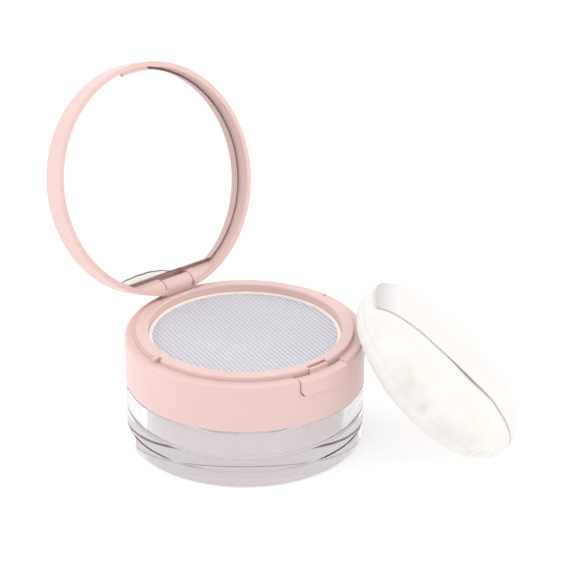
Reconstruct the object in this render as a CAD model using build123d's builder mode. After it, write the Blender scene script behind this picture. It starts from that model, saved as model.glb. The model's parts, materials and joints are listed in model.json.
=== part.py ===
"""A loose powder compact: clear jar, screw-on collar with an elastic net sifter, mirror lid and puff.

Millimetres, +Z up.  The origin is the middle of the jar's underside.  The hinge is at +Y, the push
button at -Y.  The lid stands open on its stop, and the puff leans against the collar's right side.
"""
from build123d import *
import os
from math import cos, radians, sin, sqrt

os.makedirs("parts", exist_ok=True)

# ---------------------------------------------------------------- driving dimensions
COLLAR_R = 35.0            # the compact's outer radius
JAR_R = 35.05
COLLAR_BOTTOM = 17.9
LEDGE_Z = 32.2             # flat top of the collar, where the lid's lip comes down
RIM_TOP = 33.7             # top of the raised sifter rim
LID_OPEN = 107.5           # how far the lid swings back, degrees
HINGE_Y = 32.6
HINGE_Z = 35.4

# jar
FLOOR_Z = 6.6              # inside floor of the thick clear base
CUP_R = 29.3               # inside radius of the powder chamber and of the neck
NECK_R = 30.9
NECK_TOP = 28.7
SHOULDER_Z = 17.6
POWDER_TOP = 23.5
POWDER_AIR = 0.03          # hair of air between the powder and the jar
GROOVE_Z = 5.2             # shallow V groove round the base
GROOVE_HALF = 0.3
GROOVE_DEPTH = 0.25

# three-start quick thread
LEAD = 12.0                # rise in one full turn
STARTS = 3
RIDGE_ARC = 78.0           # degrees that one ridge covers
RIDGE_W = 1.2
RIDGE_H = 0.75
RIDGE_GAP = 0.2            # clearance between a jar ridge and the collar ridge under it
RIDGE_Z = 21.2             # lower end of the jar's ridges

# collar
SKIRT_BORE_R = 32.0        # thread root inside the skirt
DECK_BOTTOM = 30.5
DECK_HOLE_R = 30.2

# sifter
RIM_R = 31.7
RIM_BORE_R = 28.2
NET_Z = 30.7               # underside of the net
NET_T = 0.15
NET_R = 28.15              # the net and its hoop stand a hair inside the rim's bore
HOOP_BORE_R = 27.0
HOOP_H = 0.5
SHELF_R = 27.2             # inner edge of the shelf that carries the net
STEP_H = 0.7
NUB_H = 1.25
PLUG_BOTTOM = 29.8         # lower end of the holder's plug, which presses on the neck seal

# hinge
PIN_R = 0.75
PIN_HALF = 8.5
BARREL_R = 2.4
KNUCKLE_HALF = 4.9
KNUCKLE_GAP = 0.3
BARREL_END = 14.0          # how far out from the middle the lid's own barrels reach

# push button
BUTTON_HALF = 8.5
BUTTON_BOTTOM = 27.4
BUTTON_PROUD = 0.8
BUTTON_TRAVEL = 0.6
PAD_CORNER_R = 2.0
PAD_GAP = 0.25             # air all round the pad in its window
HOOK_HALF = 3.3

# lid, drawn closed and stood up on planes that are turned about the hinge
LIP_Z = 32.4
LID_TOP = 40.8
LID_R = 34.86
LID_BORE_R = 33.35
LID_CEILING = 38.6
MIRROR_R = 33.0
MIRROR_FACE = 36.3
MIRROR_BACK = 38.1
CHORD_Y = 28.9             # the mirror's straight edge, beside the hinge
FLANGE_Y = 29.75           # front of the solid flange that carries the hinge barrels
SWING_R = 3.1              # nothing of the lid's back corner stands farther than this from the pin

# puff
PUFF_R = 31.0
PUFF_HALF_T = 9.2
PUFF_TILT = 46.9           # lean of the puff's own axis above the table, degrees
PUFF_BEARING = -48.5       # compass direction of the puff's back, degrees from +X
PUFF_DIST = 56.05          # from the jar's axis to the puff's middle, a hair clear of the collar
RIBBON_W = 24.0
RIBBON_T = 0.35
RIBBON_LIFT = 2.4          # how far the slack band stands off the middle of the back


def write(part, name):
    """Label one finished piece and write it as its own STEP file."""
    part.label = name
    export_step(part, f"parts/{name}.step")


def ring(plane, outer, inner, height):
    """A plain ring standing on a plane, for use inside a part block."""
    with BuildSketch(plane) as band:
        Circle(outer)
        Circle(inner, mode=Mode.SUBTRACT)
    extrude(band.sketch, amount=height)


# ---------------------------------------------------------------- thread ridges
def thread_ridge(start_angle, start_z, root_r, height, inward):
    """One short helical ridge of trapezoid section, rooted a little inside its wall."""
    rise = LEAD * RIDGE_ARC / 360
    path = Helix(LEAD, rise, root_r, center=(0, 0, start_z)).rotate(Axis.Z, start_angle)
    side = -1 if inward else 1
    start = path @ 0
    out_dir = Vector(start.X, start.Y, 0).normalized()
    section_plane = Plane(origin=start, x_dir=out_dir * side, z_dir=path % 0)
    with BuildSketch(section_plane, mode=Mode.PRIVATE) as section:
        with BuildLine():
            Polyline(
                (-0.3, -RIDGE_W / 2),
                (0, -RIDGE_W / 2),
                (height, -RIDGE_W / 4),
                (height, RIDGE_W / 4),
                (0, RIDGE_W / 2),
                (-0.3, RIDGE_W / 2),
                close=True,
            )
        make_face()
    return sweep(section.sketch, path=path, is_frenet=True, mode=Mode.PRIVATE)


# ---------------------------------------------------------------- jar
with BuildPart() as jar:
    with BuildSketch(Plane.XZ):
        with BuildLine():
            Polyline(
                (0, 0),
                (JAR_R, 0),
                (JAR_R, GROOVE_Z - GROOVE_HALF),
                (JAR_R - GROOVE_DEPTH, GROOVE_Z),
                (JAR_R, GROOVE_Z + GROOVE_HALF),
                (JAR_R, SHOULDER_Z),
                (NECK_R, SHOULDER_Z),
                (NECK_R, NECK_TOP),
                (CUP_R, NECK_TOP),
                (CUP_R, FLOOR_Z),
                (0, FLOOR_Z),
                close=True,
            )
        make_face()
    revolve(axis=Axis.Z)
    heel = jar.edges().filter_by(GeomType.CIRCLE).filter_by_position(Axis.Z, -0.01, 0.01).sort_by(
        lambda e: e.radius
    )[-1]
    fillet(heel, 1.1)
    inside_corner = jar.edges().filter_by(GeomType.CIRCLE).filter_by_position(
        Axis.Z, FLOOR_Z - 0.01, FLOOR_Z + 0.01
    )
    fillet(inside_corner, 2.2)
    neck_lip = jar.edges().filter_by(GeomType.CIRCLE).filter_by_position(
        Axis.Z, NECK_TOP - 0.01, NECK_TOP + 0.01
    )
    fillet(neck_lip, 0.35)
    for turn in range(STARTS):
        add(thread_ridge(turn * 360 / STARTS, RIDGE_Z, NECK_R, RIDGE_H, False))
write(jar.part, "jar")

# ---------------------------------------------------------------- powder
with BuildPart() as powder:
    with BuildSketch(Plane.XZ):
        with BuildLine():
            Polyline(
                (0, FLOOR_Z + POWDER_AIR),
                (CUP_R - POWDER_AIR, FLOOR_Z + POWDER_AIR),
                (CUP_R - POWDER_AIR, POWDER_TOP),
                (0, POWDER_TOP),
                close=True,
            )
        make_face()
    revolve(axis=Axis.Z)
    bottom_edge = powder.edges().filter_by(GeomType.CIRCLE).sort_by(Axis.Z)[0]
    fillet(bottom_edge, 2.3)
write(powder.part, "powder")

# ---------------------------------------------------------------- neck seal
with BuildPart() as neck_seal:
    ring(Plane.XY.offset(NECK_TOP), NECK_R - 0.1, CUP_R + 0.15, PLUG_BOTTOM - NECK_TOP)
write(neck_seal.part, "neck_seal")

# ---------------------------------------------------------------- collar
POCKET_R = 32.8            # floor of the button's pocket in the skirt wall
WINDOW_R = 34.3            # the pocket is wider behind this radius, which keeps the button in
RECESS_Z = 31.35           # the ledge is cut down to here where the button slides over it

with BuildPart() as collar:
    with BuildSketch(Plane.XZ):
        with BuildLine():
            Polyline(
                (SKIRT_BORE_R, COLLAR_BOTTOM),
                (COLLAR_R, COLLAR_BOTTOM),
                (COLLAR_R, LEDGE_Z),
                (DECK_HOLE_R, LEDGE_Z),
                (DECK_HOLE_R, DECK_BOTTOM),
                (SKIRT_BORE_R, DECK_BOTTOM),
                close=True,
            )
        make_face()
    revolve(axis=Axis.Z)
    ledge_circles = collar.edges().filter_by(GeomType.CIRCLE).group_by(Axis.Z)[-1]
    fillet(ledge_circles.sort_by(lambda e: e.radius)[-1], 0.9)
    skirt_edges = collar.edges().filter_by(GeomType.CIRCLE).group_by(Axis.Z)[0]
    fillet(skirt_edges, 0.3)
    # hinge knuckle: a foot on the ledge under a round barrel
    with BuildSketch(Plane.YZ.offset(-KNUCKLE_HALF)):
        with Locations((HINGE_Y, HINGE_Z)):
            Circle(BARREL_R)
        with BuildLine():
            Polyline(
                (HINGE_Y - BARREL_R, HINGE_Z),
                (HINGE_Y - 2.1, LEDGE_Z - 0.5),
                (HINGE_Y + 1.6, LEDGE_Z - 0.5),
                (HINGE_Y + BARREL_R, HINGE_Z),
                close=True,
            )
        make_face()
    extrude(amount=2 * KNUCKLE_HALF)
    with BuildSketch(Plane.YZ.offset(-KNUCKLE_HALF)):
        with Locations((HINGE_Y, HINGE_Z)):
            Circle(PIN_R)
    extrude(amount=2 * KNUCKLE_HALF, mode=Mode.SUBTRACT)
    # window and wider pocket for the push button
    with BuildSketch(Plane.XZ.offset(COLLAR_R + 1)) as window_front:
        with Locations((0, BUTTON_BOTTOM - PAD_GAP)):
            Rectangle(2 * (BUTTON_HALF + PAD_GAP), 10, align=(Align.CENTER, Align.MIN))
        fillet(window_front.vertices().group_by(Axis.Z)[0], PAD_CORNER_R)
    with BuildPart(mode=Mode.PRIVATE) as window:
        extrude(window_front.sketch, amount=-8)
        with BuildSketch(Plane.XY):
            Circle(POCKET_R)
        extrude(amount=60, mode=Mode.SUBTRACT)
    add(window.part, mode=Mode.SUBTRACT)
    with BuildSketch(Plane.XY.offset(BUTTON_BOTTOM - 0.95)):
        Circle(WINDOW_R)
        Circle(POCKET_R, mode=Mode.SUBTRACT)
        with Locations((0, -COLLAR_R)):
            Rectangle(2 * BUTTON_HALF + 2.5, 14, mode=Mode.INTERSECT)
    extrude(amount=RECESS_Z - BUTTON_BOTTOM + 0.95, mode=Mode.SUBTRACT)
    # recess in the ledge for the button's top plate and its hook
    with BuildSketch(Plane.XY.offset(RECESS_Z)):
        with Locations((0, -COLLAR_R)):
            Rectangle(2 * (BUTTON_HALF + PAD_GAP), 14)
        Circle(RIM_R, mode=Mode.SUBTRACT)
    extrude(until=Until.LAST, mode=Mode.SUBTRACT)
    with BuildSketch(Plane.XY.offset(RECESS_Z)):
        with Locations((0, -COLLAR_R)):
            Rectangle(2 * HOOK_HALF + 0.3, 14)
        Circle(DECK_HOLE_R + 0.2, mode=Mode.SUBTRACT)
    extrude(until=Until.LAST, mode=Mode.SUBTRACT)
    # thread ridges inside the skirt, each lying under one of the jar's
    for turn in range(STARTS):
        drop = RIDGE_W + RIDGE_GAP
        add(thread_ridge(turn * 360 / STARTS, RIDGE_Z - drop, SKIRT_BORE_R, RIDGE_H, True))
write(collar.part, "collar")

# ---------------------------------------------------------------- sifter: holder, net and hoop
NOTCH_W = 1.3
STEP_R = 32.3
HINGE_FLAT_Y = 29.35       # the rim is cut flat here, in front of the hinge

with BuildPart() as sifter_holder:
    ring(Plane.XY.offset(LEDGE_Z), RIM_R, RIM_BORE_R, RIM_TOP - LEDGE_Z)
    rim_edges = sifter_holder.edges().filter_by(GeomType.CIRCLE).group_by(Axis.Z)[-1]
    fillet(rim_edges, 0.45)
    # low step round the back half, ending in two nubs
    with BuildSketch(Plane.XY.offset(LEDGE_Z)):
        Circle(STEP_R)
        Circle(RIM_R - 0.3, mode=Mode.SUBTRACT)
        with Locations((0, COLLAR_R)):
            Rectangle(2 * COLLAR_R, 2 * COLLAR_R - 3, mode=Mode.INTERSECT)
    extrude(amount=STEP_H)
    # plug that snaps through the collar's deck
    ring(Plane.XY.offset(PLUG_BOTTOM), DECK_HOLE_R - 0.05, RIM_BORE_R, LEDGE_Z - PLUG_BOTTOM)
    ring(Plane.XY.offset(PLUG_BOTTOM), DECK_HOLE_R + 0.25, RIM_BORE_R, 0.65)
    # shelf that carries the net
    ring(Plane.XY.offset(PLUG_BOTTOM), RIM_BORE_R + 0.2, SHELF_R, NET_Z - PLUG_BOTTOM)
    # flat in front of the hinge
    with BuildSketch(Plane.XY.offset(LEDGE_Z)):
        with Locations((0, HINGE_FLAT_Y + 5)):
            Rectangle(40, 10)
    extrude(amount=3, mode=Mode.SUBTRACT)
    # notch where the button's hook stands
    with BuildSketch(Plane.XY.offset(LEDGE_Z)):
        with Locations((0, -COLLAR_R)):
            Rectangle(2 * HOOK_HALF + 0.4, 14)
        Circle(DECK_HOLE_R + 0.25, mode=Mode.SUBTRACT)
    extrude(amount=3, mode=Mode.SUBTRACT)
    # two nubs beside two fingernail notches, left and right
    for side in (-1, 1):
        with BuildSketch(Plane.XY.offset(LEDGE_Z)):
            with Locations((side * (STEP_R - 0.3), 1.4)):
                Rectangle(1.4, 1.1)
        extrude(amount=NUB_H)
        with BuildSketch(Plane.XY.offset(LEDGE_Z)):
            with Locations((side * (RIM_R + 0.4), 0)):
                Rectangle(2.6, NOTCH_W)
        extrude(amount=3, mode=Mode.SUBTRACT)
write(sifter_holder.part, "sifter_holder")

with BuildPart() as sifter_net:
    with BuildSketch(Plane.XY.offset(NET_Z)):
        Circle(NET_R)
    extrude(amount=NET_T)
write(sifter_net.part, "sifter_net")

with BuildPart() as net_hoop:
    ring(Plane.XY.offset(NET_Z + NET_T), NET_R, HOOP_BORE_R, HOOP_H)
    fillet(net_hoop.edges().filter_by(GeomType.CIRCLE).group_by(Axis.Z)[-1], 0.15)
write(net_hoop.part, "net_hoop")

# ---------------------------------------------------------------- push button and its spring
PAD_BACK_R = 33.6
PLATE_Z = 31.45
PLATE_TOP = LEDGE_Z - 0.1
HOOK_R = 32.05
HOOK_BACK_R = 31.3

with BuildPart() as push_button:
    # the pad that stands out of the skirt
    with BuildSketch(Plane.XY.offset(BUTTON_BOTTOM)):
        Circle(COLLAR_R + BUTTON_PROUD)
        Circle(PAD_BACK_R, mode=Mode.SUBTRACT)
        with Locations((0, -COLLAR_R)):
            Rectangle(2 * BUTTON_HALF, 14, mode=Mode.INTERSECT)
    extrude(amount=PLATE_TOP - BUTTON_BOTTOM)
    fillet(push_button.edges().filter_by(Axis.Y).group_by(Axis.Z)[0], PAD_CORNER_R)
    front_face = push_button.faces().filter_by(GeomType.CYLINDER).sort_by(Axis.Y)[0]
    fillet(front_face.edges(), 0.3)
    # top plate that slides over the ledge's recess
    with BuildSketch(Plane.XY.offset(PLATE_Z)):
        Circle(COLLAR_R - 0.5)
        Circle(RIM_R + BUTTON_TRAVEL + 0.25, mode=Mode.SUBTRACT)
        with Locations((0, -COLLAR_R)):
            Rectangle(2 * BUTTON_HALF, 14, mode=Mode.INTERSECT)
    extrude(amount=PLATE_TOP - PLATE_Z)
    # hook that holds the lid's tongue
    with BuildSketch(Plane.XY.offset(PLATE_Z)):
        Circle(PAD_BACK_R)
        Circle(HOOK_BACK_R, mode=Mode.SUBTRACT)
        with Locations((0, -COLLAR_R)):
            Rectangle(2 * HOOK_HALF, 14, mode=Mode.INTERSECT)
    extrude(amount=PLATE_TOP - PLATE_Z)
    with BuildSketch(Plane.XY.offset(PLATE_Z)):
        Circle(HOOK_R)
        Circle(HOOK_BACK_R, mode=Mode.SUBTRACT)
        with Locations((0, -COLLAR_R)):
            Rectangle(2 * HOOK_HALF, 14, mode=Mode.INTERSECT)
    extrude(amount=RIM_TOP - 0.35 - PLATE_Z)
    # wider back plate that keeps the pad behind its window
    with BuildSketch(Plane.XY.offset(BUTTON_BOTTOM - 0.75)):
        Circle(WINDOW_R - 0.1)
        Circle(PAD_BACK_R, mode=Mode.SUBTRACT)
        with Locations((0, -COLLAR_R)):
            Rectangle(2 * BUTTON_HALF + 2.1, 14, mode=Mode.INTERSECT)
    extrude(amount=RECESS_Z - BUTTON_BOTTOM + 0.65)
write(push_button.part, "push_button")

SPRING_HALF = 6.5
SPRING_T = 0.15
SPRING_BOTTOM = 28.6
SPRING_H = 2.2
with BuildPart() as button_spring:
    inner_end = -sqrt(POCKET_R**2 - SPRING_HALF**2) - 0.1
    outer_end = inner_end - SPRING_T
    crown = -PAD_BACK_R + 0.05
    with BuildSketch(Plane.XY.offset(SPRING_BOTTOM)):
        with BuildLine():
            ThreePointArc((-SPRING_HALF, inner_end), (0, crown + SPRING_T), (SPRING_HALF, inner_end))
            ThreePointArc((-SPRING_HALF, outer_end), (0, crown), (SPRING_HALF, outer_end))
            Line((-SPRING_HALF, inner_end), (-SPRING_HALF, outer_end))
            Line((SPRING_HALF, inner_end), (SPRING_HALF, outer_end))
        make_face()
    extrude(amount=SPRING_H)
write(button_spring.part, "button_spring")

# ---------------------------------------------------------------- hinge pin
with BuildPart() as hinge_pin:
    with BuildSketch(Plane.YZ.offset(-PIN_HALF)):
        with Locations((HINGE_Y, HINGE_Z)):
            Circle(PIN_R)
    extrude(amount=2 * PIN_HALF)
    chamfer(hinge_pin.edges().filter_by(GeomType.CIRCLE), 0.12)
write(hinge_pin.part, "hinge_pin")

# ---------------------------------------------------------------- lid planes
turn_back = radians(LID_OPEN)
LID_ALONG = Vector(0, cos(turn_back), -sin(turn_back))     # the closed lid's +Y, swung open
LID_UP = Vector(0, sin(turn_back), cos(turn_back))         # the closed lid's +Z, swung open


def opened(y, z):
    """Where a point of the closed lid, on the line x = 0, stands when the lid is open."""
    return Vector(0, HINGE_Y, HINGE_Z) + LID_ALONG * (y - HINGE_Y) + LID_UP * (z - HINGE_Z)


def lid_level(height):
    """The plane of one height of the closed lid, swung open: its own x and y stay the closed ones."""
    return Plane(origin=opened(0, height), x_dir=(1, 0, 0), z_dir=LID_UP)


def lid_side(x):
    """A plane across the hinge at one x: its own x runs along the closed +Y, its y along the closed +Z."""
    return Plane(origin=opened(0, 0) + Vector(x, 0, 0), x_dir=LID_ALONG, z_dir=(1, 0, 0))


# ---------------------------------------------------------------- lid shell
TONGUE_HALF = 4.5
TONGUE_R = 32.3
TONGUE_H = 1.4

with BuildPart() as lid_shell:
    with BuildSketch(lid_level(LIP_Z)):
        Circle(LID_R)
    extrude(amount=LID_TOP - LIP_Z)
    back_edge = lid_shell.edges().filter_by(GeomType.CIRCLE).sort_by(Axis(opened(0, 0), LID_UP))[-1]
    fillet(back_edge, 1.9)
    with BuildSketch(lid_level(LIP_Z)):
        Circle(LID_BORE_R)
        with Locations((0, FLANGE_Y + 5)):
            Rectangle(40, 10, mode=Mode.SUBTRACT)
    extrude(amount=LID_CEILING - LIP_Z, mode=Mode.SUBTRACT)
    # below the hinge flange the segment is open except for the two barrels
    with BuildSketch(lid_level(LIP_Z)):
        Circle(LID_BORE_R)
        with Locations((0, 29.0 + 5)):
            Rectangle(40, 10, mode=Mode.INTERSECT)
    extrude(amount=HINGE_Z - LIP_Z, mode=Mode.SUBTRACT)
    # barrels, trimmed to the lid's own round
    for x in (-BARREL_END, KNUCKLE_HALF + KNUCKLE_GAP):
        with BuildSketch(lid_level(0), mode=Mode.PRIVATE) as trim_sketch:
            Circle(LID_R - 0.02)
        with BuildSketch(lid_side(x), mode=Mode.PRIVATE) as barrel_sketch:
            with Locations((HINGE_Y, HINGE_Z)):
                Circle(BARREL_R)
        trim = extrude(trim_sketch.sketch, amount=60, mode=Mode.PRIVATE)
        barrel = extrude(
            barrel_sketch.sketch,
            amount=BARREL_END - KNUCKLE_HALF - KNUCKLE_GAP,
            mode=Mode.PRIVATE,
        )
        add(barrel & trim)
    # room for the collar's knuckle, and the bore for the pin
    with BuildSketch(lid_side(-KNUCKLE_HALF - KNUCKLE_GAP)):
        with BuildLine():
            Polyline(
                (29.0, LIP_Z - 1),
                (37, LIP_Z - 1),
                (37, 39.0),
                (30.6, 39.0),
                (29.0, 37.8),
                close=True,
            )
        make_face()
    extrude(amount=2 * (KNUCKLE_HALF + KNUCKLE_GAP), mode=Mode.SUBTRACT)
    with BuildSketch(lid_side(-PIN_HALF - 0.2)):
        with Locations((HINGE_Y, HINGE_Z)):
            Circle(PIN_R + 0.04)
    extrude(amount=2 * PIN_HALF + 0.4, mode=Mode.SUBTRACT)
    # back corner of the lip, cut round so that it clears the ledge as the lid swings
    with BuildSketch(lid_side(-10)):
        with Locations((HINGE_Y + 2, HINGE_Z - 2)):
            Rectangle(4, 4)
        with Locations((HINGE_Y, HINGE_Z)):
            Circle(SWING_R, mode=Mode.SUBTRACT)
    extrude(amount=20, mode=Mode.SUBTRACT)
    # catch tongue inside the lip, opposite the hinge
    with BuildSketch(lid_level(LIP_Z + 0.5)):
        Circle(LID_BORE_R + 0.3)
        Circle(TONGUE_R, mode=Mode.SUBTRACT)
        with Locations((0, -COLLAR_R)):
            Rectangle(2 * TONGUE_HALF, 14, mode=Mode.INTERSECT)
    extrude(amount=TONGUE_H)
write(lid_shell.part, "lid_shell")

# ---------------------------------------------------------------- mirror and its tape
with BuildPart() as mirror:
    with BuildSketch(lid_level(MIRROR_FACE)):
        Circle(MIRROR_R)
        with Locations((0, CHORD_Y + 10)):
            Rectangle(60, 20, mode=Mode.SUBTRACT)
    extrude(amount=MIRROR_BACK - MIRROR_FACE)
    mirror_front = mirror.faces().sort_by(Axis(opened(0, 0), LID_UP))[0]
    chamfer(mirror_front.edges(), 0.45)
write(mirror.part, "mirror")

TAPE_R = 27.0
with BuildPart() as mirror_tape:
    with BuildSketch(lid_level(MIRROR_BACK)):
        Circle(TAPE_R)
        with Locations((0, CHORD_Y + 8)):
            Rectangle(60, 20, mode=Mode.SUBTRACT)
    extrude(amount=LID_CEILING - MIRROR_BACK)
write(mirror_tape.part, "mirror_tape")

# ---------------------------------------------------------------- puff
# The puff's own axes: PUFF_N leaves its back and PUFF_U lies level.
tilt = radians(PUFF_TILT)
bearing = radians(PUFF_BEARING)
PUFF_N = Vector(cos(bearing) * cos(tilt), sin(bearing) * cos(tilt), sin(tilt))
PUFF_U = Vector(-sin(bearing), cos(bearing), 0)


def puff_outline(radius, half):
    """Half of the puff's section: a flat-topped dome that turns into a full round rim."""
    for up in (-1, 1):
        Spline(
            (0, up * half),
            (0.5 * radius, up * 0.945 * half),
            (0.76 * radius, up * 0.79 * half),
            (0.93 * radius, up * 0.52 * half),
            (radius, 0),
            tangents=((1, 0), (0, -up)),
        )
    Line((0, half), (0, -half))


def puff_blank(section, radius, half):
    """A whole rounded body like the puff's, revolved in one section plane."""
    with BuildPart(mode=Mode.PRIVATE) as blank:
        with BuildSketch(section):
            with BuildLine():
                puff_outline(radius, half)
            make_face()
        revolve(axis=Axis(section.origin, section.y_dir))
    return blank.part


# stand the blank at the origin, turned as it leans, to find how high its middle sits off the table
SECTION_NORMAL = PUFF_U.cross(PUFF_N)
trial = puff_blank(Plane(origin=(0, 0, 0), x_dir=PUFF_U, z_dir=SECTION_NORMAL), PUFF_R, PUFF_HALF_T)
PUFF_Z = -trial.bounding_box().min.Z
PUFF_C = Vector(PUFF_DIST * cos(bearing), PUFF_DIST * sin(bearing), PUFF_Z)
puff_section = Plane(origin=PUFF_C, x_dir=PUFF_U, z_dir=SECTION_NORMAL)
puff_middle = Plane(origin=PUFF_C, x_dir=PUFF_U, z_dir=PUFF_N)

SKIN_T = 1.2
puff_outer = puff_blank(puff_section, PUFF_R, PUFF_HALF_T)
puff_inner = puff_blank(puff_section, PUFF_R - SKIN_T, PUFF_HALF_T - SKIN_T)

with BuildPart() as puff_core:
    add(puff_inner)
write(puff_core.part, "puff_core")

for name, keep in (("puff_face", Keep.BOTTOM), ("puff_back", Keep.TOP)):
    with BuildPart() as puff_skin:
        add(puff_outer)
        add(puff_inner, mode=Mode.SUBTRACT)
        split(bisect_by=puff_middle, keep=keep)
    write(puff_skin.part, name)

# ribbon band over the back, slack in the middle and sewn into the rim's seam at both ends
band_inside = puff_blank(puff_section, PUFF_R + 0.05, PUFF_HALF_T + RIBBON_LIFT)
band_outside = puff_blank(puff_section, PUFF_R + 0.05 + RIBBON_T, PUFF_HALF_T + RIBBON_LIFT + RIBBON_T)

with BuildPart() as puff_ribbon:
    with BuildSketch(Plane(origin=PUFF_C + PUFF_N * 0.8, x_dir=PUFF_U, z_dir=PUFF_N)):
        Rectangle(RIBBON_W, 3 * PUFF_R)
    extrude(amount=20)
    add(band_outside, mode=Mode.INTERSECT)
    add(band_inside, mode=Mode.SUBTRACT)
write(puff_ribbon.part, "puff_ribbon")

print("air between puff and collar, mm:", round(puff_outer.distance_to(collar.part), 3))
print("air between ribbon and puff, mm:", round(puff_ribbon.part.distance_to(puff_outer), 3))
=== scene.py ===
# %% [markdown]
# # A loose powder compact with its mirror lid and its puff
#
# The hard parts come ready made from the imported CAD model: the clear jar, the pink collar and lid,
# the mirror, the hinge and the push button. This lesson gives them their finishes, and makes the
# soft parts that a CAD program makes badly: the elastic net, the velour puff and its satin band.

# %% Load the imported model
import json
import math

import bmesh
import bpy
from mathutils import Matrix, Vector, noise
from mathutils.bvhtree import BVHTree


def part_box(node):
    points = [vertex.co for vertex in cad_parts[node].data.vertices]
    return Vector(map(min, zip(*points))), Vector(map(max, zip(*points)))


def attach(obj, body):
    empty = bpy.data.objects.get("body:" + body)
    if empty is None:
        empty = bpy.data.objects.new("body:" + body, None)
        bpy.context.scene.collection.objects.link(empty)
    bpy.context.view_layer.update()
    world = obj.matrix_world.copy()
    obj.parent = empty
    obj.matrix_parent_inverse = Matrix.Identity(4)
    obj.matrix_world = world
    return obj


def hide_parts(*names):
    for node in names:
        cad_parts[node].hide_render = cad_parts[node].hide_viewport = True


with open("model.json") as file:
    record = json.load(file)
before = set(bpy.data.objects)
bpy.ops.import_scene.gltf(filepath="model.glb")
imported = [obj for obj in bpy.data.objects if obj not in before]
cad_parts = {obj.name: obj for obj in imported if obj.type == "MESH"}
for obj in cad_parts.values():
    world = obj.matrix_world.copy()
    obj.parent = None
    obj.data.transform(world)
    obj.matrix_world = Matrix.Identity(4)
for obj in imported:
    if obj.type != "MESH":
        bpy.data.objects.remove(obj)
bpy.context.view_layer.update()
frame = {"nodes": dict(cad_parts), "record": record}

MM = 0.001

# %% [markdown]
# ## The camera
#
# The compact is seen from its left, a little above, through a long lens, so that the round rims are
# flat ellipses with hardly any perspective. The camera first looks at a point on the jar's axis and
# is then turned a little sideways, so the puff has room in the picture without shifting the lens.

# %% Place the camera
LOOK_AT = Vector((0, 0, 12.25 * MM))
CAMERA_AZIMUTH = math.radians(-40.257)
CAMERA_HEIGHT = math.radians(28.505)
CAMERA_DISTANCE = 578.29 * MM
CAMERA_YAW = -0.02437
CAMERA_PITCH = -0.05256
CAMERA_ROLL = 0.00923


def towards(azimuth, height):
    """Unit vector from the object to a viewer at this azimuth and height."""
    flat = math.cos(height)
    return Vector((math.sin(azimuth) * flat, -math.cos(azimuth) * flat, math.sin(height)))


lens = bpy.data.cameras.new("camera")
lens.lens = 122.07
lens.sensor_width = 36
lens.clip_start = 0.01
lens.clip_end = 20
camera = bpy.data.objects.new("camera", lens)
bpy.context.scene.collection.objects.link(camera)
back = towards(CAMERA_AZIMUTH + CAMERA_YAW, CAMERA_HEIGHT + CAMERA_PITCH)
right = (-back).cross(Vector((0, 0, 1))).normalized()
up = right.cross(-back)
turn = Matrix.Rotation(CAMERA_ROLL, 3, back)
right, up = turn @ right, turn @ up
camera.matrix_world = Matrix(
    (
        (right.x, up.x, back.x, 0),
        (right.y, up.y, back.y, 0),
        (right.z, up.z, back.z, 0),
        (0, 0, 0, 1),
    )
)
camera.location = LOOK_AT + towards(CAMERA_AZIMUTH, CAMERA_HEIGHT) * CAMERA_DISTANCE
bpy.context.scene.camera = camera
bpy.context.scene.view_settings.view_transform = "Standard"
# light is reflected many times inside the jar's thick base, which is black with fewer bounces
bpy.context.scene.cycles.max_bounces = 24
bpy.context.scene.cycles.diffuse_bounces = 10
bpy.context.scene.cycles.glossy_bounces = 16
bpy.context.scene.cycles.transmission_bounces = 24
print("camera at, mm:", [round(v / MM) for v in camera.location])

# %% [markdown]
# ## The studio
#
# Cosmetics are shot in a white tent: light comes from everywhere, with one larger window of light
# from the upper left that gives the soft highlights. A white world does the tent's job, and area
# lights do the window's, its return from the right and a lamp above.

# %% Light the studio
world = bpy.data.worlds.new("white tent")
world.use_nodes = True
bpy.context.scene.world = world
tent = world.node_tree.nodes["Background"]
tent.inputs["Color"].default_value = (1.0, 1.0, 1.0, 1)
tent.inputs["Strength"].default_value = 1.08


def soft_light(name, azimuth, height, distance, size, power, colour):
    """A square area light aimed at the compact."""
    data = bpy.data.lights.new(name, "AREA")
    data.size = size
    data.energy = power
    data.color = colour
    lamp = bpy.data.objects.new(name, data)
    bpy.context.scene.collection.objects.link(lamp)
    aim = towards(math.radians(azimuth), math.radians(height))
    lamp.location = LOOK_AT + aim * distance
    lamp.rotation_mode = "QUATERNION"
    lamp.rotation_quaternion = aim.to_track_quat("Z", "Y")
    print(name, power, "W")


soft_light("window", -132, 40, 1.3, 0.7, 2.8, (1.0, 0.985, 0.97))
soft_light("return", 62, 26, 1.5, 0.7, 4.6, (1.0, 0.84, 0.72))
soft_light("top", -60, 82, 1.4, 0.9, 2.4, (1.0, 1.0, 1.0))

# %% [markdown]
# ## Materials
#
# Each finish starts from one Principled shader. A fine noise drives a bump, because no moulded,
# woven or ground surface is optically flat, and a broad noise moves the colour by a hair.

# %% Make a finish
def finish(name, colour, **sockets):
    """A material with one Principled shader. Words in a socket's name are joined by an underscore."""
    made = bpy.data.materials.new(name)
    made.use_nodes = True
    shader = made.node_tree.nodes["Principled BSDF"]
    shader.inputs["Base Color"].default_value = (*colour, 1)
    for key, value in sockets.items():
        shader.inputs[key.replace("_", " ")].default_value = value
    made.diffuse_color = (*colour, 1)
    return made


def node(made, kind, **values):
    """Adds one node, sets its sockets by name, and returns it."""
    new = made.node_tree.nodes.new(kind)
    for key, value in values.items():
        new.inputs[key.replace("_", " ")].default_value = value
    return new


def join(made, start, end):
    """Links an output socket to an input socket."""
    made.node_tree.links.new(start, end)


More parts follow.
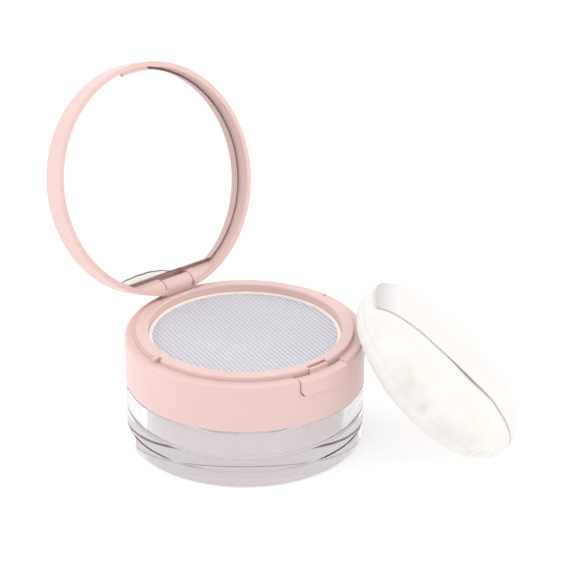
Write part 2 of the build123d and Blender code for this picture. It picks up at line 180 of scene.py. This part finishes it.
def grain(made, scale, strength, distance, detail=4.0):
    """Fine bumps over the whole surface, from a noise on Object coordinates."""
    shader = made.node_tree.nodes["Principled BSDF"]
    place = node(made, "ShaderNodeTexCoord")
    speck = node(made, "ShaderNodeTexNoise", Scale=scale, Detail=detail, Roughness=0.6)
    bump = node(made, "ShaderNodeBump", Strength=strength, Distance=distance)
    join(made, place.outputs["Object"], speck.inputs["Vector"])
    join(made, speck.outputs["Fac"], bump.inputs["Height"])
    join(made, bump.outputs["Normal"], shader.inputs["Normal"])
    return bump


def cloudy(made, scale, dark, light):
    """Lets the colour drift between two close shades."""
    shader = made.node_tree.nodes["Principled BSDF"]
    place = node(made, "ShaderNodeTexCoord")
    cloud = node(made, "ShaderNodeTexNoise", Scale=scale, Detail=3.0)
    shades = node(made, "ShaderNodeValToRGB")
    shades.color_ramp.elements[0].position = 0.35
    shades.color_ramp.elements[0].color = (*dark, 1)
    shades.color_ramp.elements[1].position = 0.65
    shades.color_ramp.elements[1].color = (*light, 1)
    join(made, place.outputs["Object"], cloud.inputs["Vector"])
    join(made, cloud.outputs["Fac"], shades.inputs["Fac"])
    join(made, shades.outputs["Color"], shader.inputs["Base Color"])


def dress(name, made):
    """Gives a CAD node its finish."""
    for slot in frame["nodes"][name].material_slots:
        slot.material = made
    print(name, "wears", made.name)

# %% [markdown]
# The pink plastic is satin: it spreads a highlight over a few millimetres. Light also enters it a
# little before it comes out again, so thin edges glow.

# %% Pink moulded plastic
pink = finish(
    "pink_plastic",
    (0.70, 0.495, 0.47),
    Roughness=0.34,
    IOR=1.5,
    Subsurface_Weight=0.12,
    Subsurface_Radius=(0.004, 0.002, 0.0015),
    Subsurface_Scale=0.5,
    Coat_Weight=0.15,
    Coat_Roughness=0.2,
)
cloudy(pink, 30.0, (0.695, 0.49, 0.465), (0.71, 0.502, 0.477))
grain(pink, 2600.0, 0.08, 0.00004)
for name in ("collar", "sifter_holder", "push_button", "lid_shell"):
    dress(name, pink)

# %% [markdown]
# The jar is one thick-walled piece of clear plastic. Its look is all refraction: the powder fills
# it from side to side, and the base below the powder shows dark and bright bands by itself.

# %% Clear jar
clear = finish(
    "clear_plastic",
    (0.96, 0.95, 0.955),
    Roughness=0.02,
    IOR=1.49,
    Transmission_Weight=1.0,
)
# thick clear plastic is never quite colourless: light that crosses the whole base comes out grey
depth = node(clear, "ShaderNodeVolumeAbsorption", Color=(0.5, 0.42, 0.47, 1), Density=13.0)
join(clear, depth.outputs["Volume"], clear.node_tree.nodes["Material Output"].inputs["Volume"])
grain(clear, 200.0, 0.004, 0.00002, 1.0)
dress("jar", clear)

# %% Powder, seal, hoop, spring, pin, mirror and tape
# the powder glows a little, to make up for light that is lost on its way through the thick plastic
powder = finish(
    "loose_powder",
    (0.90, 0.84, 0.84),
    Roughness=1.0,
    Specular_IOR_Level=0.1,
    Emission_Color=(0.90, 0.83, 0.83, 1),
    Emission_Strength=0.18,
)
cloudy(powder, 180.0, (0.88, 0.82, 0.82), (0.92, 0.86, 0.86))
grain(powder, 1500.0, 0.5, 0.0002)
dress("powder", powder)

seal = finish("white_foam", (0.86, 0.86, 0.85), Roughness=0.8)
grain(seal, 1800.0, 0.5, 0.0002)
dress("neck_seal", seal)

cream = finish("cream_plastic", (0.90, 0.82, 0.76), Roughness=0.4)
grain(cream, 2600.0, 0.1, 0.00004)
dress("net_hoop", cream)

steel = finish("pin_steel", (0.62, 0.62, 0.64), Metallic=1.0, Roughness=0.25)
grain(steel, 900.0, 0.15, 0.00003)
dress("hinge_pin", steel)
leaf = finish("spring_steel", (0.60, 0.61, 0.63), Metallic=1.0, Roughness=0.32)
grain(leaf, 700.0, 0.2, 0.00003)
dress("button_spring", leaf)

silver = finish("mirror_glass", (0.93, 0.935, 0.935), Metallic=1.0, Roughness=0.012)
grain(silver, 40.0, 0.004, 0.00002, 1.0)
dress("mirror", silver)

tape = finish("foam_tape", (0.80, 0.80, 0.78), Roughness=0.9)
grain(tape, 1500.0, 0.5, 0.0002)
dress("mirror_tape", tape)

# %% [markdown]
# ## Making meshes
#
# A small helper turns points and faces into an object whose origin stays at the world's origin,
# as every finished piece must. Another turns what a Geometry Nodes tree makes into a plain mesh.

# %% Mesh helpers
def as_piece(name, points, faces, made):
    """One mesh object from points in metres."""
    mesh = bpy.data.meshes.new(name)
    mesh.from_pydata(points, [], faces)
    mesh.materials.append(made)
    mesh.polygons.foreach_set("use_smooth", [True] * len(mesh.polygons))
    mesh.update()
    piece = bpy.data.objects.new(name, mesh)
    bpy.context.scene.collection.objects.link(piece)
    print(name, len(mesh.vertices), "points")
    return piece


def from_nodes(name, tree, values, made):
    """Runs a node tree once, and keeps its result as a plain mesh object."""
    carrier = bpy.data.objects.new(name + "_carrier", bpy.data.meshes.new(name + "_base"))
    bpy.context.scene.collection.objects.link(carrier)
    modifier = carrier.modifiers.new("nodes", "NODES")
    modifier.node_group = tree
    for item in tree.interface.items_tree:
        if item.item_type == "SOCKET" and item.in_out == "INPUT" and item.name in values:
            modifier[item.identifier] = values[item.name]
    graph = bpy.context.evaluated_depsgraph_get()
    mesh = bpy.data.meshes.new_from_object(carrier.evaluated_get(graph), depsgraph=graph)
    bpy.data.objects.remove(carrier)
    mesh.name = name
    if not mesh.materials:
        mesh.materials.append(made)
    piece = bpy.data.objects.new(name, mesh)
    bpy.context.scene.collection.objects.link(piece)
    print(name, len(mesh.vertices), "points from nodes")
    return piece


def new_tree(name, inputs):
    """An empty geometry tree with named number inputs."""
    tree = bpy.data.node_groups.new(name, "GeometryNodeTree")
    tree.interface.new_socket("Geometry", in_out="INPUT", socket_type="NodeSocketGeometry")
    for label, value in inputs.items():
        made = tree.interface.new_socket(label, in_out="INPUT", socket_type="NodeSocketFloat")
        made.default_value = value
    tree.interface.new_socket("Geometry", in_out="OUTPUT", socket_type="NodeSocketGeometry")
    return tree, tree.nodes.new("NodeGroupInput"), tree.nodes.new("NodeGroupOutput")

# %% [markdown]
# ## The net
#
# The sifter is a stretched net of fine elastic threads. Threads that run two ways, each going over
# and under the others, are a rule: a row of straight lines, cut to the round frame, with a wave
# along each. Geometry Nodes makes both sets from one tree. Under them lies the thin see-through
# cloth that the threads are knitted into, a round disc.

# %% The thread tree
def link(tree, a, b):
    """Links two sockets of a geometry tree."""
    tree.links.new(a, b)


def maths(tree, operation, a, b=None):
    """One Math node. a and b are sockets or numbers."""
    new = tree.nodes.new("ShaderNodeMath")
    new.operation = operation
    for slot, value in zip(new.inputs, (a, b)):
        if value is None:
            continue
        if isinstance(value, (int, float)):
            slot.default_value = value
        else:
            link(tree, value, slot)
    return new.outputs[0]


def thread_tree(made):
    """Parallel threads over a disc, each waving up and down as it crosses the others."""
    sizes = {"Radius": 0.028, "Pitch": 0.0008, "Cross Pitch": 0.0008, "Thread": 0.0001, "Wave": 0.00005}
    tree, given, result = new_tree("net threads", sizes)
    radius, pitch = given.outputs["Radius"], given.outputs["Pitch"]
    count = maths(tree, "FLOOR", maths(tree, "DIVIDE", maths(tree, "MULTIPLY", radius, 1.98), pitch))
    row = tree.nodes.new("GeometryNodeMeshLine")
    row.mode = "OFFSET"
    link(tree, count, row.inputs["Count"])
    step = tree.nodes.new("ShaderNodeCombineXYZ")
    link(tree, pitch, step.inputs["Y"])
    link(tree, step.outputs[0], row.inputs["Offset"])
    first = tree.nodes.new("ShaderNodeCombineXYZ")
    row_length = maths(tree, "MULTIPLY", maths(tree, "SUBTRACT", count, 1.0), pitch)
    half_row = maths(tree, "MULTIPLY", row_length, -0.5)
    link(tree, half_row, first.inputs["Y"])
    link(tree, first.outputs[0], row.inputs["Start Location"])
    # each line is as long as the disc is wide at its place
    where = tree.nodes.new("GeometryNodeInputPosition")
    split = tree.nodes.new("ShaderNodeSeparateXYZ")
    link(tree, where.outputs[0], split.inputs[0])
    square = maths(tree, "MULTIPLY", split.outputs["Y"], split.outputs["Y"])
    half = maths(tree, "SQRT", maths(tree, "SUBTRACT", maths(tree, "MULTIPLY", radius, radius), square))
    stretch = tree.nodes.new("ShaderNodeCombineXYZ")
    stretch.inputs["Y"].default_value = 1
    stretch.inputs["Z"].default_value = 1
    link(tree, half, stretch.inputs["X"])
    one = tree.nodes.new("GeometryNodeCurvePrimitiveLine")
    one.inputs["Start"].default_value = (-1, 0, 0)
    one.inputs["End"].default_value = (1, 0, 0)
    place = tree.nodes.new("GeometryNodeInstanceOnPoints")
    link(tree, row.outputs["Mesh"], place.inputs["Points"])
    link(tree, one.outputs["Curve"], place.inputs["Instance"])
    link(tree, stretch.outputs[0], place.inputs["Scale"])
    whole = tree.nodes.new("GeometryNodeRealizeInstances")
    link(tree, place.outputs[0], whole.inputs[0])
    fine = tree.nodes.new("GeometryNodeResampleCurve")
    fine.mode = "LENGTH"
    link(tree, whole.outputs[0], fine.inputs["Curve"])
    link(tree, maths(tree, "MULTIPLY", given.outputs["Cross Pitch"], 0.5), fine.inputs["Length"])
    # the wave, turned over on every second thread
    spot = tree.nodes.new("GeometryNodeInputPosition")
    parts = tree.nodes.new("ShaderNodeSeparateXYZ")
    link(tree, spot.outputs[0], parts.inputs[0])
    along = maths(tree, "DIVIDE", parts.outputs["X"], given.outputs["Cross Pitch"])
    from_first = maths(tree, "SUBTRACT", parts.outputs["Y"], half_row)
    line = maths(tree, "ROUND", maths(tree, "DIVIDE", from_first, pitch))
    phase = maths(tree, "MULTIPLY", maths(tree, "ADD", along, line), math.pi)
    lift = tree.nodes.new("ShaderNodeCombineXYZ")
    height = maths(tree, "MULTIPLY", maths(tree, "SINE", phase), given.outputs["Wave"])
    link(tree, height, lift.inputs["Z"])
    wave = tree.nodes.new("GeometryNodeSetPosition")
    link(tree, fine.outputs[0], wave.inputs["Geometry"])
    link(tree, lift.outputs[0], wave.inputs["Offset"])
    section = tree.nodes.new("GeometryNodeCurvePrimitiveCircle")
    section.inputs["Resolution"].default_value = 4
    link(tree, given.outputs["Thread"], section.inputs["Radius"])
    skin = tree.nodes.new("GeometryNodeCurveToMesh")
    skin.inputs["Fill Caps"].default_value = True
    link(tree, wave.outputs[0], skin.inputs["Curve"])
    link(tree, section.outputs[0], skin.inputs["Profile Curve"])
    paint = tree.nodes.new("GeometryNodeSetMaterial")
    paint.inputs["Material"].default_value = made
    link(tree, skin.outputs[0], paint.inputs["Geometry"])
    link(tree, paint.outputs[0], result.inputs["Geometry"])
    return tree

# %% Weave the net
net_low, net_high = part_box("sifter_net")
NET_R = (net_high.x - net_low.x) / 2 - 0.0001
NET_TOP = net_high.z
THREAD_PITCH = 1.35 * MM
THREAD_R = 0.26 * MM
FINE_PITCH = 0.75 * MM
FINE_R = 0.1 * MM
WAVE = 0.06 * MM
NET_TURN = math.radians(78.3)
SUNK = 0.02 * MM  # the threads lie this far down in the cloth
CLOTH_T = 0.08 * MM

thread_white = finish("net_threads", (0.72, 0.71, 0.77), Roughness=0.35, Sheen_Weight=0.2)
grain(thread_white, 3000.0, 0.2, 0.00003)
threads = []
tree = thread_tree(thread_white)
for turned, pitch, cross, thick in (
    (0.0, THREAD_PITCH, FINE_PITCH, THREAD_R),
    (math.pi / 2, FINE_PITCH, THREAD_PITCH, FINE_R),
):
    sizes = {"Radius": NET_R, "Pitch": pitch, "Cross Pitch": cross, "Thread": thick, "Wave": WAVE}
    part = from_nodes("net_part", tree, sizes, thread_white)
    spin = Matrix.Rotation(NET_TURN + turned, 4, "Z")
    part.data.transform(Matrix.Translation((0, 0, NET_TOP - SUNK)) @ spin)
    threads.append(part)
whole = bmesh.new()
for part in threads:
    whole.from_mesh(part.data)
    bpy.data.objects.remove(part)
net_mesh = bpy.data.meshes.new("net_threads")
whole.to_mesh(net_mesh)
whole.free()
net_mesh.materials.append(thread_white)
net_mesh.polygons.foreach_set("use_smooth", [True] * len(net_mesh.polygons))
net_threads = bpy.data.objects.new("net_threads", net_mesh)
bpy.context.scene.collection.objects.link(net_threads)
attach(net_threads, "collar")
print("net triangles", sum(len(p.vertices) - 2 for p in net_mesh.polygons))


# %% The cloth under the threads
net_sheer = finish("net_cloth", (0.58, 0.575, 0.625), Roughness=0.5, Alpha=0.85, Sheen_Weight=0.3)
cloudy(net_sheer, 60.0, (0.56, 0.545, 0.605), (0.60, 0.595, 0.645))
grain(net_sheer, 2500.0, 0.3, 0.00003)
RINGS, SPOKES = 16, 96
CLOTH_Z = net_low.z + 0.02 * MM
points = [(0, 0, CLOTH_Z)]
for ring in range(1, RINGS + 1):
    for spoke in range(SPOKES):
        a = 2 * math.pi * spoke / SPOKES
        r = NET_R * ring / RINGS
        points.append((r * math.cos(a), r * math.sin(a), CLOTH_Z))
faces = [(0, 1 + s, 1 + (s + 1) % SPOKES) for s in range(SPOKES)]
for ring in range(RINGS - 1):
    inner = 1 + ring * SPOKES
    outer = inner + SPOKES
    for s in range(SPOKES):
        t = (s + 1) % SPOKES
        faces.append((inner + s, outer + s, outer + t, inner + t))
net_cloth = as_piece("net_cloth", points, faces, net_sheer)
thick = net_cloth.modifiers.new("thickness", "SOLIDIFY")
thick.thickness = CLOTH_T
thick.offset = 1
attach(net_cloth, "collar")
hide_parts("sifter_net")

# %% [markdown]
# ## The puff
#
# The puff is a soft foam disc in a velour cover. Its cover is two round cuts sewn together at the
# rim, so it is fullest in the middle and puckers a little along the seam. A lens-shaped start is
# blown up with Cloth and held back at a small cap, then kept inside the space of the CAD puff.

# %% The puff's own axes
PUFF_TILT = math.radians(46.9)
PUFF_R = 31.0 * MM
PUFF_HALF = 9.2 * MM
slide = next(j for j in frame["record"]["behaviour"]["joints"] if j["name"] == "puff_lift")["axis"]
bearing = math.atan2(slide[1], slide[0])
core_low, core_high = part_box("puff_core")
PUFF_MIDDLE = (Vector(core_low) + Vector(core_high)) / 2
PUFF_N = Vector(
    (
        math.cos(bearing) * math.cos(PUFF_TILT),
        math.sin(bearing) * math.cos(PUFF_TILT),
        math.sin(PUFF_TILT),
    )
)
PUFF_U = Vector((-math.sin(bearing), math.cos(bearing), 0))
PUFF_V = PUFF_N.cross(PUFF_U)
print("puff middle, mm:", [round(v / MM, 2) for v in PUFF_MIDDLE])


def puff_place(u, v, n):
    """A point given along the puff's own axes, as a point of the scene."""
    return PUFF_MIDDLE + PUFF_U * u + PUFF_V * v + PUFF_N * n


RIM_POWER = 3.1
CROWN_POWER = 2.4


def crown(t):
    """How full the puff is at t of its radius, from 1 in the middle to 0 at the rim."""
    return (1 - min(t, 1) ** RIM_POWER) ** (1 / CROWN_POWER)


# %% The start shape and its blowing up
def lens_points(radius, half, rings, spokes):
    """Points and faces of a closed lens in the puff's own place."""
    spots, skin = [], []
    turns = 2 * rings
    for ring in range(1, turns):
        a = math.pi * ring / turns
        t = math.sin(a) ** (2 / RIM_POWER) if a else 0
        side = 1 if ring <= rings else -1
        n = 0 if ring == rings else side * crown(t) * half
        for spoke in range(spokes):
            w = 2 * math.pi * spoke / spokes
            spots.append(puff_place(t * radius * math.cos(w), t * radius * math.sin(w), n))
    top, bottom = len(spots), len(spots) + 1
    spots += [puff_place(0, 0, half), puff_place(0, 0, -half)]
    for spoke in range(spokes):
        other = (spoke + 1) % spokes
        skin.append((top, spoke, other))
        last = (turns - 2) * spokes
        skin.append((bottom, last + other, last + spoke))
        for ring in range(turns - 2):
            here, below = ring * spokes, (ring + 1) * spokes
            skin.append((here + spoke, below + spoke, below + other, here + other))
    return [tuple(p) for p in spots], skin


velour = finish(
    "puff_velour",
    (0.75, 0.735, 0.71),
    Roughness=0.95,
    Specular_IOR_Level=0.15,
    Sheen_Weight=0.25,
    Sheen_Roughness=0.5,
    Subsurface_Weight=0.25,
    Subsurface_Radius=(0.006, 0.0045, 0.003),
    Subsurface_Scale=0.6,
)
cloudy(velour, 70.0, (0.73, 0.705, 0.675), (0.77, 0.76, 0.74))
grain(velour, 1400.0, 0.55, 0.00025)

spots, skin = lens_points(PUFF_R * 0.995, PUFF_HALF * 0.96, 24, 96)
puff = as_piece("puff_pad", spots, skin, velour)


def apply_all(piece):
    """Bakes a piece's modifiers into its mesh."""
    graph = bpy.context.evaluated_depsgraph_get()
    mesh = bpy.data.meshes.new_from_object(piece.evaluated_get(graph), depsgraph=graph)
    piece.modifiers.clear()
    piece.data = mesh


remesh = puff.modifiers.new("even", "REMESH")
remesh.mode = "VOXEL"
remesh.voxel_size = 1.5 * MM
apply_all(puff)
print("remeshed puff", len(puff.data.vertices), "points")

PUFF_CAP = 0.7 * MM
PRESSURE = 60
LAST_FRAME = 20
start = [v.co.copy() for v in puff.data.vertices]
cloth = puff.modifiers.new("cloth", "CLOTH")
cloth.settings.use_pressure = True
cloth.settings.uniform_pressure_force = PRESSURE
cloth.settings.effector_weights.gravity = 0
cloth.settings.quality = 6
cloth.point_cache.frame_start = 1
cloth.point_cache.frame_end = LAST_FRAME
for step in range(1, LAST_FRAME + 1):
    bpy.context.scene.frame_set(step)
apply_all(puff)
bpy.context.scene.frame_set(1)
held = 0
for v, old in zip(puff.data.vertices, start):
    move = v.co - old
    if move.length > PUFF_CAP:
        v.co = old + move.normalized() * PUFF_CAP
        held += 1
print("points held back at the cap:", held, "of", len(start))
most = max((v.co - old).length for v, old in zip(puff.data.vertices, start))
print("cloth moved the puff by up to", round(most / MM, 2), "mm")

# %% Shape the puff's soft surface
SOFTEN = puff.modifiers.new("finer", "SUBSURF")
SOFTEN.levels = SOFTEN.render_levels = 2
apply_all(puff)

PUCKERS = 46
PUCKER_DEPTH = 0.3 * MM
# places where the cover is pinched in: along u, v and n, how deep and how wide, in millimetres
PINCHES = (
    (-30.6, 4.0, 1.1, 2.0, 2.2),
    (-26.2, 13.4, 4.0, 0.9, 2.0),
    (-27.8, 11.4, 2.8, 1.0, 1.9),
    (-29.2, 9.4, 1.6, 0.9, 2.0),
    (-25.0, -17.5, -1.8, 1.0, 1.8),
    (-22.6, -20.6, -1.6, 1.0, 1.8),
    (-24.5, 0.5, 7.0, 0.9, 4.5),
    (-25.5, -9.0, 5.0, 1.0, 4.5),
    (-22.5, 8.5, 7.0, 0.7, 4.0),
    (18.0, 22.0, -1.0, 0.7, 1.8),
    (28.0, -8.0, 1.0, 0.8, 1.8),
)
SEAM_DEPTH = 0.45 * MM
SEAM_WIDTH = 0.7 * MM
for v in puff.data.vertices:
    off = v.co - PUFF_MIDDLE
    u, w, n = off.dot(PUFF_U), off.dot(PUFF_V), off.dot(PUFF_N)
    r = math.hypot(u, w)
    t = r / PUFF_R
    angle = math.atan2(w, u)
    # keep inside the CAD puff's outline
    full = t**RIM_POWER + (abs(n) / PUFF_HALF) ** CROWN_POWER
    scale = min(1.0, full ** (-1 / 2.75))
    # broad softness, then the seam and the small gathers beside it
    spot = Vector((u, w, n)) / (16 * MM)
    scale -= 0.008 + 0.008 * noise.noise(spot)
    near = math.exp(-((n / SEAM_WIDTH) ** 2)) * max(0.0, t) ** 6
    beside = math.exp(-(((abs(n) - 2.2 * MM) / (2.2 * MM)) ** 2)) * max(0.0, t) ** 4
    round_rim = Vector((math.cos(angle), math.sin(angle), 0)) * 2.5
    ripple = math.sin(PUCKERS * angle + 2.0 * noise.noise(round_rim))
    inward = SEAM_DEPTH * near + PUCKER_DEPTH * beside * (0.5 + 0.5 * ripple)
    inward += 0.45 * MM * noise.noise(Vector((u, w, n)) / (7.5 * MM) + Vector((5, 1, 2))) * t**2
    for pu, pv, pn, deep, wide in PINCHES:
        away = (Vector((u, w, n)) / MM - Vector((pu, pv, pn))).length / wide
        if away < 3:
            inward += deep * MM * math.exp(-away * away)
    scale -= inward / max(off.length, 1e-6)
    v.co = PUFF_MIDDLE + off * scale
    v.co.z = max(v.co.z, 0.05 * MM)
puff.data.materials.clear()
puff.data.materials.append(velour)
puff.data.polygons.foreach_set("use_smooth", [True] * len(puff.data.polygons))
puff.data.update()
print("puff", len(puff.data.vertices), "points")
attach(puff, "puff")
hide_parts("puff_core", "puff_face", "puff_back")

# %% [markdown]
# ## The satin band
#
# A satin band lies over the puff's back, sewn into the rim at both ends. It starts from the puff's
# real skin, so its edges lie close to it, and it stands off a little along the middle.

# %% The band
satin = finish(
    "satin_ribbon",
    (0.85, 0.85, 0.86),
    Roughness=0.34,
    Sheen_Weight=0.2,
    Sheen_Roughness=0.3,
)
BAND_HALF_W = 12.0 * MM
BAND_SHIFT = 3.0 * MM  # the band sits a little to one side of the middle
BAND_LIFT = 1.6 * MM
BAND_TOP_END = 0.955
BAND_T = 0.15 * MM
BAND_CLEAR = 0.06 * MM
HEM = 0.035
HEM_LIFT = 0.35 * MM
DRAWN_IN = 2.2 * MM
SLACK = 1.3 * MM
WRINKLE = 0.25 * MM
UV_LENGTH = 3.0  # how often the weave repeats along the band, against once across it
ACROSS, ALONG = 28, 120


def satin_weave_and_end_shade(made):
    """Weft lines from the band's UV map that give satin its glow; painted shade at its top end."""
    shader = made.node_tree.nodes["Principled BSDF"]
    uv = node(made, "ShaderNodeUVMap")
    uv.uv_map = "UVMap"
    lines = node(made, "ShaderNodeTexWave", Scale=70.0, Distortion=0.6, Detail=1.0)
    lines.wave_type = "BANDS"
    lines.bands_direction = "Y"
    bump = node(made, "ShaderNodeBump", Strength=0.12, Distance=0.00005)
    join(made, uv.outputs["UV"], lines.inputs["Vector"])
    join(made, lines.outputs["Fac"], bump.inputs["Height"])
    join(made, bump.outputs["Normal"], shader.inputs["Normal"])
    # painted shade: the band's top end is darker, standing in for the shade where it bends down to the
    # seam; the hem itself is lighter again
    split = node(made, "ShaderNodeSeparateXYZ")
    shades = node(made, "ShaderNodeValToRGB")
    shades.color_ramp.elements[0].position = 0.80
    shades.color_ramp.elements[0].color = (0.85, 0.85, 0.86, 1)
    shades.color_ramp.elements[1].position = 0.965
    shades.color_ramp.elements[1].color = (0.56, 0.56, 0.565, 1)
    hem = shades.color_ramp.elements.new(0.985)
    hem.color = (0.90, 0.90, 0.90, 1)
    share = node(made, "ShaderNodeMath")
    share.operation = "DIVIDE"
    share.inputs[1].default_value = UV_LENGTH
    join(made, uv.outputs["UV"], split.inputs["Vector"])
    join(made, split.outputs["Y"], share.inputs[0])
    join(made, share.outputs[0], shades.inputs["Fac"])
    join(made, shades.outputs["Color"], shader.inputs["Base Color"])
    # thin cloth lets some light through, a little warmer than it came
    through = node(made, "ShaderNodeBsdfTranslucent", Color=(0.95, 0.87, 0.78, 1))
    blend = node(made, "ShaderNodeMixShader", Fac=0.2)
    join(made, shader.outputs["BSDF"], blend.inputs[1])
    join(made, through.outputs["BSDF"], blend.inputs[2])
    join(made, blend.outputs["Shader"], made.node_tree.nodes["Material Output"].inputs["Surface"])


satin_weave_and_end_shade(satin)
puff_skin = BVHTree.FromPolygons(
    [v.co.copy() for v in puff.data.vertices],
    [tuple(p.vertices) for p in puff.data.polygons],
)
points = []
for i in range(ALONG + 1):
    # more points near the ends, where the band bends down to the seam
    s = math.sin((-1 + 2 * i / ALONG) * math.pi / 2)
    s = s * BAND_TOP_END if s > 0 else s
    # the top end is turned under into a small hem
    hem = max(0.0, (s - BAND_TOP_END + HEM) / HEM)
    for j in range(ACROSS + 1):
        a = -1 + 2 * j / ACROSS
        u = BAND_SHIFT + BAND_HALF_W * a
        reach = math.sqrt((PUFF_R + 0.1 * MM) ** 2 - u * u)
        v = s * reach
        # the near edge wanders: drawn in at the top end, slack below the middle
        drawn = DRAWN_IN * max(0.0, min(1.0, (v / MM - 8) / 16))
        slack = SLACK * math.exp(-(((v + 5 * MM) / (7 * MM)) ** 2))
        u += (drawn - slack) * (1 - a) / 2
        full = crown(abs(s))
        loose = 0.05 + 0.3 * math.exp(-(((v + 5 * MM) / (7 * MM)) ** 2))
        rise = max(0.0, min(1.0, (reach - abs(v)) / (7 * MM)))
        rise = rise * rise * (3 - 2 * rise)
        lift = BAND_LIFT * (1 - (1 - loose) * a * a) * rise
        under = crown(min(1, math.hypot(u, v) / PUFF_R)) * PUFF_HALF
        crease = noise.noise(Vector((u / (7 * MM), v / (12 * MM), 3.0)))
        lift += WRINKLE * crease * full * (1 - a * a)
        lift += HEM_LIFT * hem
        # the band starts from the nearest point of the puff's real skin
        spot, out = puff_skin.find_nearest(puff_place(u, v, under))[:2]
        if out.dot(spot - PUFF_MIDDLE) < 0:
            out = -out
        points.append(tuple(spot + out * BAND_CLEAR + PUFF_N * lift))
faces = []
row = ACROSS + 1
for i in range(ALONG):
    for j in range(ACROSS):
        a = i * row + j
        faces.append((a, a + 1, a + row + 1, a + row))
band = as_piece("satin_band", points, faces, satin)
uv = band.data.uv_layers.new(name="UVMap")
for loop in band.data.loops:
    i, j = divmod(loop.vertex_index, row)
    uv.data[loop.index].uv = (j / ACROSS, UV_LENGTH * i / ALONG)
area = sum(p.area for p in band.data.polygons)
middle = [Vector(points[i * row + ACROSS // 2]) for i in range(ALONG + 1)]
path = sum((after - before).length for before, after in zip(middle, middle[1:]))
print("band area, mm2:", round(area / MM / MM), "middle line, mm:", round(path / MM, 1))
thick = band.modifiers.new("thickness", "SOLIDIFY")
thick.thickness = BAND_T
thick.offset = 1
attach(band, "puff")
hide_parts("puff_ribbon")

# %% [markdown]
# ## The floor
#
# A plain pale floor, wide enough that no view sees its edge. It glows a little, which keeps it
# white and its shadows weak.

# %% The floor
pale = finish(
    "pale_floor",
    (0.55, 0.55, 0.55),
    Roughness=0.9,
    Specular_IOR_Level=0.1,
    Emission_Color=(1, 1, 1, 1),
    Emission_Strength=0.58,
)
WIDE = 4.0
UNDER = -0.05 * MM  # a hair below the jar, whose underside would share its plane
corners = [(-WIDE, -WIDE, UNDER), (WIDE, -WIDE, UNDER), (WIDE, WIDE, UNDER), (-WIDE, WIDE, UNDER)]
floor = as_piece("floor", corners, [(0, 1, 2, 3)], pale)
